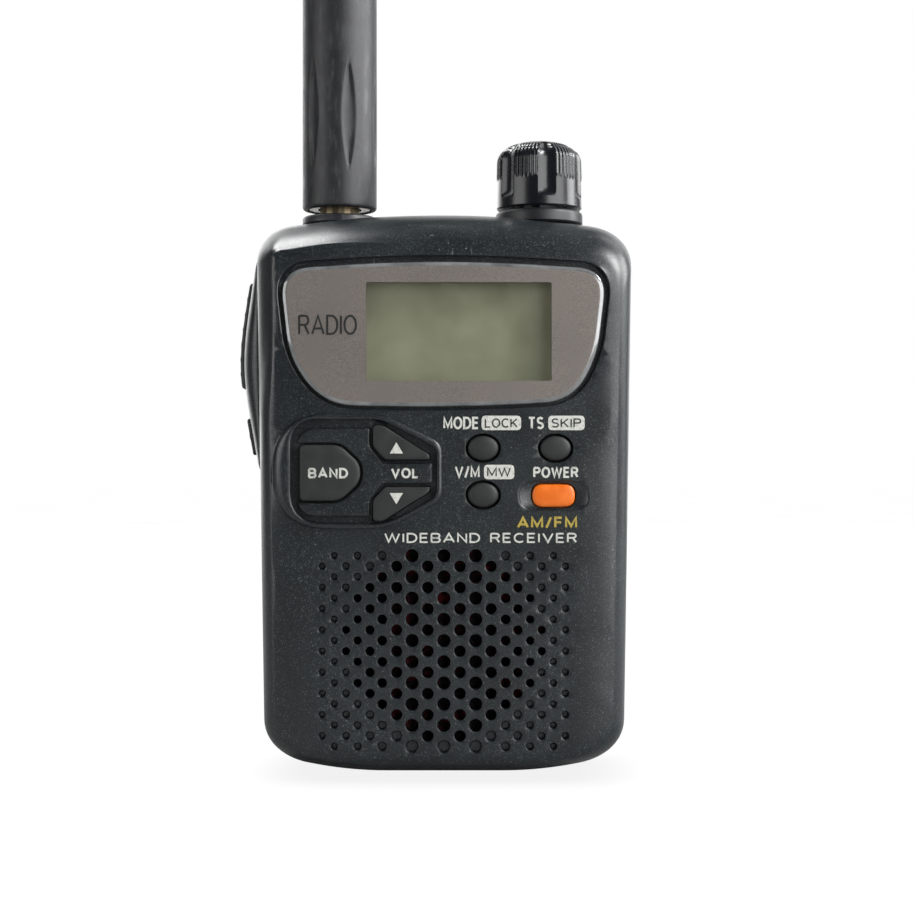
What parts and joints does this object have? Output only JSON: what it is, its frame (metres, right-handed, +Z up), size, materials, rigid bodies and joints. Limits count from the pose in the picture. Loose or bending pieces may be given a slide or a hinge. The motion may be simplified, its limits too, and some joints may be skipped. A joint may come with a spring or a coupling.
{
  "type": "handheld radio receiver",
  "caption": "Pocket handheld communications receiver with a screw-on whip antenna, tuning dial, display, front and side keys, and a hinged battery cover.",
  "frame": {"origin": "bottom centre of the case, half way through its depth", "axes": "+Z up towards the antenna, -Y out of the front face, +X to the viewer's right"},
  "size_m": [0.0606, 0.028, 0.256],
  "materials": {
    "case_plastic": "fine sparkle-textured moulding",
    "key_rubber": "matte",
    "power_orange": "satin",
    "lens_acrylic": "polished, back-printed in metallic grey",
    "display_glass": "polished",
    "black_rubber": "satin",
    "gloss_black": "polished",
    "nickel": "plated",
    "brass": "bright",
    "steel": "plated",
    "white_plastic": "satin",
    "circuit_board": "solder mask",
    "chip_plastic": "matte",
    "copper": "bright",
    "felt": "napped",
    "cone_paper": "pressed pulp",
    "cell_wrap": "printed metallic wrap"
  },
  "bodies": {
    "root": {"front_case": "case_plastic", "rear_case": "case_plastic", "case_screw_1": "steel", "case_screw_2": "steel", "case_screw_3": "steel", "case_screw_4": "steel", "board_screw_left": "steel", "board_screw_right": "steel", "strap_pin": "steel", "display_lens": "lens_acrylic", "lcd_panel": "display_glass", "lcd_frame": "white_plastic", "light_guide": "white_plastic", "zebra_strip": "key_rubber", "keypad_mat": "key_rubber", "main_board": "circuit_board", "processor_chip": "chip_plastic", "rf_board": "circuit_board", "rf_shield": "nickel", "board_connector": "white_plastic", "speaker_felt": "felt", "speaker_frame": "steel", "speaker_cone": "cone_paper", "speaker_magnet": "steel", "speaker_cable": "felt", "side_key_panel": "case_plastic", "side_switch_board": "circuit_board", "phone_jack": "chip_plastic", "power_jack": "chip_plastic", "contact_bridge": "nickel", "contact_positive": "nickel", "contact_negative": "nickel", "cell_left": "cell_wrap", "cell_right": "cell_wrap", "antenna_jack": "brass", "antenna_seal": "black_rubber", "antenna_coax": "copper", "encoder_body": "steel", "encoder_nut": "nickel", "dial_collar": "gloss_black"},
    "antenna_core": {"antenna_pin": "brass", "antenna_insulator": "white_plastic", "antenna_coil": "copper"},
    "antenna": {"antenna_sleeve": "black_rubber", "antenna_nut": "nickel"},
    "dial": {"dial_knob": "gloss_black", "dial_shaft": "steel"},
    "band_key": {"band_key": "key_rubber"},
    "volume_up_key": {"volume_up_key": "key_rubber"},
    "volume_down_key": {"volume_down_key": "key_rubber"},
    "mode_key": {"mode_key": "key_rubber"},
    "step_key": {"step_key": "key_rubber"},
    "memory_key": {"memory_key": "key_rubber"},
    "power_key": {"power_key": "power_orange"},
    "function_button": {"function_button": "black_rubber"},
    "monitor_button": {"monitor_button": "black_rubber"},
    "battery_cover": {"battery_cover": "case_plastic"},
    "cover_latch": {"cover_latch": "case_plastic"},
    "jack_cover": {"jack_cover": "black_rubber"}
  },
  "joints": [
    {"name": "antenna_lift", "type": "slide", "parent": "root", "child": "antenna_core", "axis": [0, 0, 1], "range_m": [0, 0.0025]},
    {"name": "antenna_turn", "type": "hinge", "parent": "antenna_core", "child": "antenna", "pos_m": [-0.0163, 0, 0.0866], "axis": [0, 0, 1], "range_deg": [0, 1260]},
    {"name": "dial_turn", "type": "hinge", "parent": "root", "child": "dial", "pos_m": [0.0147, 0, 0.09], "axis": [0, 0, 1], "continuous": true},
    {"name": "band_press", "type": "slide", "parent": "root", "child": "band_key", "axis": [0, 1, 0], "range_m": [0, 0.0006]},
    {"name": "volume_up_press", "type": "slide", "parent": "root", "child": "volume_up_key", "axis": [0, 1, 0], "range_m": [0, 0.0006]},
    {"name": "volume_down_press", "type": "slide", "parent": "root", "child": "volume_down_key", "axis": [0, 1, 0], "range_m": [0, 0.0006]},
    {"name": "mode_press", "type": "slide", "parent": "root", "child": "mode_key", "axis": [0, 1, 0], "range_m": [0, 0.0006]},
    {"name": "step_press", "type": "slide", "parent": "root", "child": "step_key", "axis": [0, 1, 0], "range_m": [0, 0.0006]},
    {"name": "memory_press", "type": "slide", "parent": "root", "child": "memory_key", "axis": [0, 1, 0], "range_m": [0, 0.0006]},
    {"name": "power_press", "type": "slide", "parent": "root", "child": "power_key", "axis": [0, 1, 0], "range_m": [0, 0.0006]},
    {"name": "function_button_press", "type": "slide", "parent": "root", "child": "function_button", "axis": [1, 0, 0], "range_m": [0, 0.0006]},
    {"name": "monitor_button_press", "type": "slide", "parent": "root", "child": "monitor_button", "axis": [1, 0, 0], "range_m": [0, 0.0006]},
    {"name": "cover_swing", "type": "hinge", "parent": "root", "child": "battery_cover", "pos_m": [0, 0.0127, 0.005], "axis": [-1, 0, 0], "range_deg": [0, 95]},
    {"name": "latch_slide", "type": "slide", "parent": "battery_cover", "child": "cover_latch", "axis": [0, 0, -1], "range_m": [0, 0.002]},
    {"name": "jack_cover_swing", "type": "hinge", "parent": "root", "child": "jack_cover", "pos_m": [0.0282, 0.005, 0.066], "axis": [0, 0, 1], "range_deg": [0, 110]}
  ],
  "couplings": [
    {"joint": "antenna_lift", "follows": "antenna_turn", "m_per_rad": 0.0001123}
  ]
}
